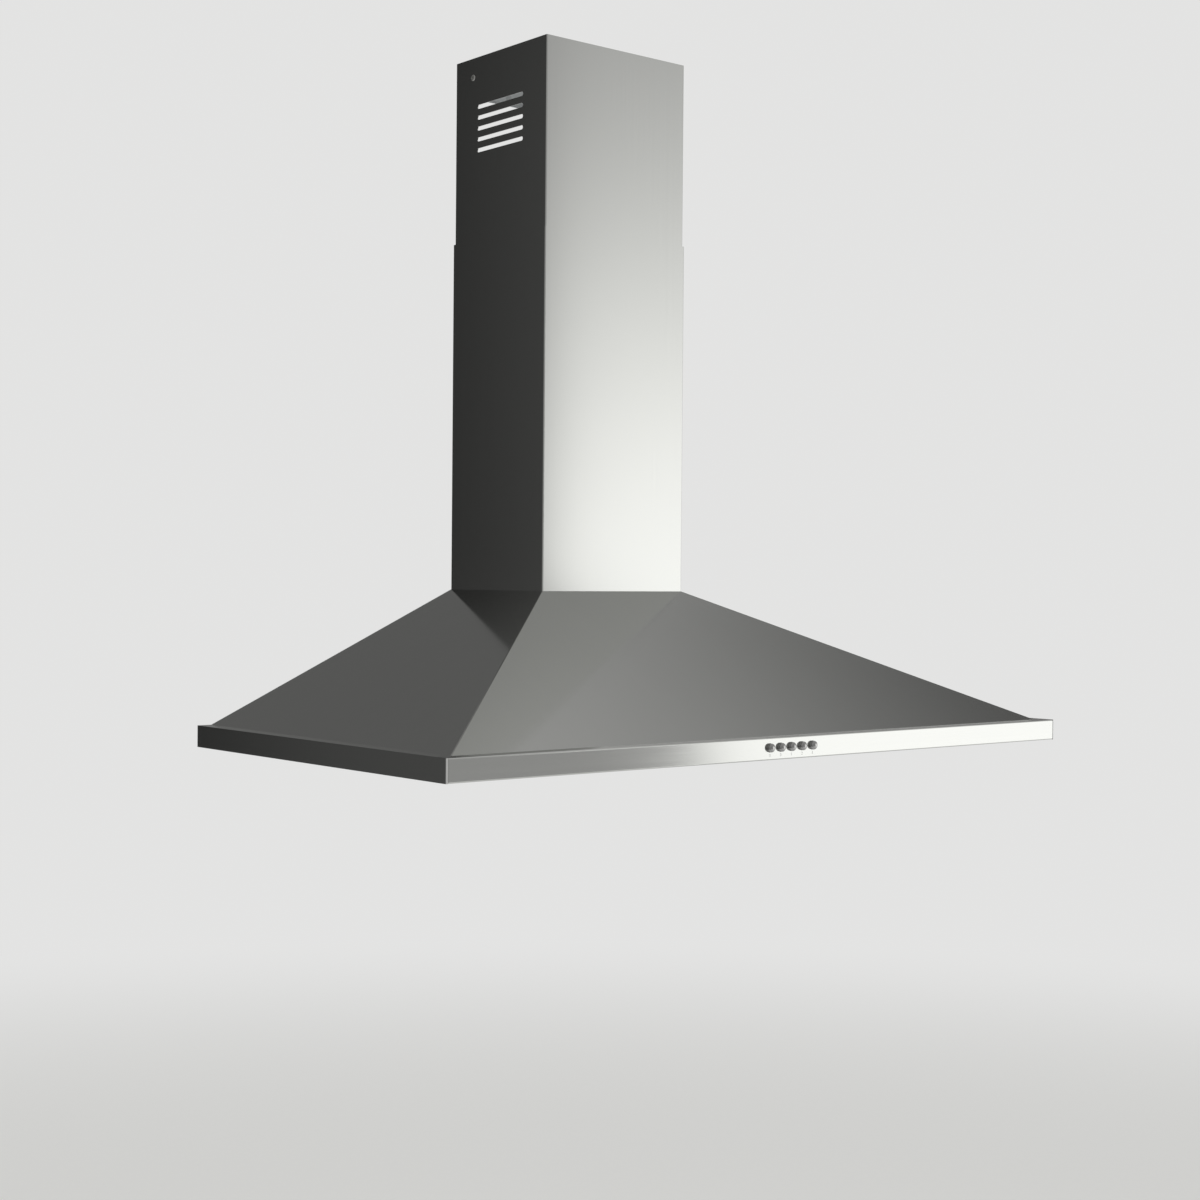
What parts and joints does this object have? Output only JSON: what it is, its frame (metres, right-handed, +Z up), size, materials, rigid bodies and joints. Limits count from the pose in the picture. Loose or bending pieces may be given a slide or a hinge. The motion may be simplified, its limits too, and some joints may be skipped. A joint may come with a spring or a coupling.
{
  "type": "chimney range hood",
  "caption": "Wall-hung chimney range hood: pyramid canopy with a thin rim, push buttons, tilting grease filters, lamps, blower and a telescopic square duct cover.",
  "frame": {"origin": "on the wall plane, midway along the hood, level with the underside of the rim", "axes": "+X to the right as seen from the room, +Y into the wall, +Z up"},
  "size_m": [0.9, 0.485, 0.816],
  "materials": {
    "brushed_sheet": "brushed stainless steel, upright grain",
    "galvanised_sheet": "galvanised, dull",
    "chrome_cap": "polished",
    "filter_aluminium": "satin",
    "mesh_aluminium": "expanded mesh layers",
    "can_aluminium": "spun",
    "black_plastic": "fine grain",
    "grey_plastic": "moulded",
    "white_plastic": "moulded",
    "motor_paint": "satin",
    "laminations": "stacked laminations",
    "plain_steel": "turned",
    "bush_bronze": "sintered",
    "lens_glass": "frosted",
    "board_white": "coated",
    "cable_sheath": "smooth",
    "zinc_screw": "zinc plated"
  },
  "bodies": {
    "hood": {"canopy_shell": "brushed_sheet", "front_fascia": "brushed_sheet", "back_panel": "galvanised_sheet", "hanging_brackets": "galvanised_sheet", "lamp_strip": "brushed_sheet", "underside_panel": "brushed_sheet", "duct_cover_lower": "brushed_sheet", "blower_box": "galvanised_sheet", "scroll_front": "black_plastic", "scroll_rear": "black_plastic", "motor_shell": "motor_paint", "motor_bracket": "motor_paint", "motor_bushes": "bush_bronze", "motor_stator": "laminations", "outlet_collar": "black_plastic", "flap_pins": "plain_steel", "pan_head_screws": "zinc_screw", "countersunk_screws": "zinc_screw", "lamp_bezel_left": "chrome_cap", "lamp_bezel_right": "chrome_cap", "lamp_lens_left": "lens_glass", "lamp_lens_right": "lens_glass", "lamp_can_left": "can_aluminium", "lamp_can_right": "can_aluminium", "led_board_left": "board_white", "led_board_right": "board_white", "switch_housing": "black_plastic", "junction_box": "grey_plastic", "junction_box_cover": "grey_plastic", "cable_gland": "black_plastic", "terminal_block": "white_plastic", "capacitor": "white_plastic", "control_loom": "cable_sheath", "lamp_lead_left": "cable_sheath", "lamp_lead_right": "cable_sheath", "motor_lead": "cable_sheath", "cable_clips": "black_plastic"},
    "upper_duct": {"duct_cover_upper": "brushed_sheet", "duct_bracket": "galvanised_sheet", "duct_cover_screws": "zinc_screw"},
    "filter_left": {"filter_frame_left": "filter_aluminium", "filter_mesh_left": "mesh_aluminium", "latch_spring_left": "plain_steel"},
    "filter_right": {"filter_frame_right": "filter_aluminium", "filter_mesh_right": "mesh_aluminium", "latch_spring_right": "plain_steel"},
    "latch_left": {"filter_latch_left": "black_plastic"},
    "latch_right": {"filter_latch_right": "black_plastic"},
    "rotor": {"impeller_disc": "galvanised_sheet", "impeller_blades": "galvanised_sheet", "impeller_rings": "galvanised_sheet", "motor_shaft": "plain_steel", "rotor_core": "laminations"},
    "front_flap": {"flap_front": "grey_plastic"},
    "rear_flap": {"flap_rear": "grey_plastic"},
    "light_button": {"button_light": "chrome_cap"},
    "stop_button": {"button_stop": "chrome_cap"},
    "speed_1_button": {"button_speed_1": "chrome_cap"},
    "speed_2_button": {"button_speed_2": "chrome_cap"},
    "speed_3_button": {"button_speed_3": "chrome_cap"}
  },
  "joints": [
    {"name": "upper_duct_slide", "type": "slide", "parent": "hood", "child": "upper_duct", "axis": [0, 0, 1], "range_m": [-0.18, 0.12]},
    {"name": "fan_spin", "type": "hinge", "parent": "hood", "child": "rotor", "pos_m": [-0.0185, -0.09175, 0.272], "axis": [0, 1, 0], "continuous": true},
    {"name": "front_flap_lift", "type": "hinge", "parent": "hood", "child": "front_flap", "pos_m": [0, -0.09575, 0.409], "axis": [-1, 0, 0], "range_deg": [0, 80]},
    {"name": "rear_flap_lift", "type": "hinge", "parent": "hood", "child": "rear_flap", "pos_m": [0, -0.08775, 0.409], "axis": [1, 0, 0], "range_deg": [0, 80]},
    {"name": "filter_left_tilt", "type": "hinge", "parent": "hood", "child": "filter_left", "pos_m": [-0.215, -0.035, 0.002], "axis": [1, 0, 0], "range_deg": [0, 75]},
    {"name": "latch_left_slide", "type": "slide", "parent": "filter_left", "child": "latch_left", "axis": [0, 1, 0], "range_m": [0, 0.005], "stiffness_N_per_m": 300, "deforming": ["latch_spring_left"]},
    {"name": "filter_right_tilt", "type": "hinge", "parent": "hood", "child": "filter_right", "pos_m": [0.215, -0.035, 0.002], "axis": [1, 0, 0], "range_deg": [0, 75]},
    {"name": "latch_right_slide", "type": "slide", "parent": "filter_right", "child": "latch_right", "axis": [0, 1, 0], "range_m": [0, 0.005], "stiffness_N_per_m": 300, "deforming": ["latch_spring_right"]},
    {"name": "light_press", "type": "slide", "parent": "hood", "child": "light_button", "axis": [0, 1, 0], "range_m": [0, 0.0035], "stiffness_N_per_m": 450},
    {"name": "stop_press", "type": "slide", "parent": "hood", "child": "stop_button", "axis": [0, 1, 0], "range_m": [0, 0.0035], "stiffness_N_per_m": 450},
    {"name": "speed_1_press", "type": "slide", "parent": "hood", "child": "speed_1_button", "axis": [0, 1, 0], "range_m": [0, 0.0035], "stiffness_N_per_m": 450},
    {"name": "speed_2_press", "type": "slide", "parent": "hood", "child": "speed_2_button", "axis": [0, 1, 0], "range_m": [0, 0.0035], "stiffness_N_per_m": 450},
    {"name": "speed_3_press", "type": "slide", "parent": "hood", "child": "speed_3_button", "axis": [0, 1, 0], "range_m": [0, 0.0035], "stiffness_N_per_m": 450}
  ]
}
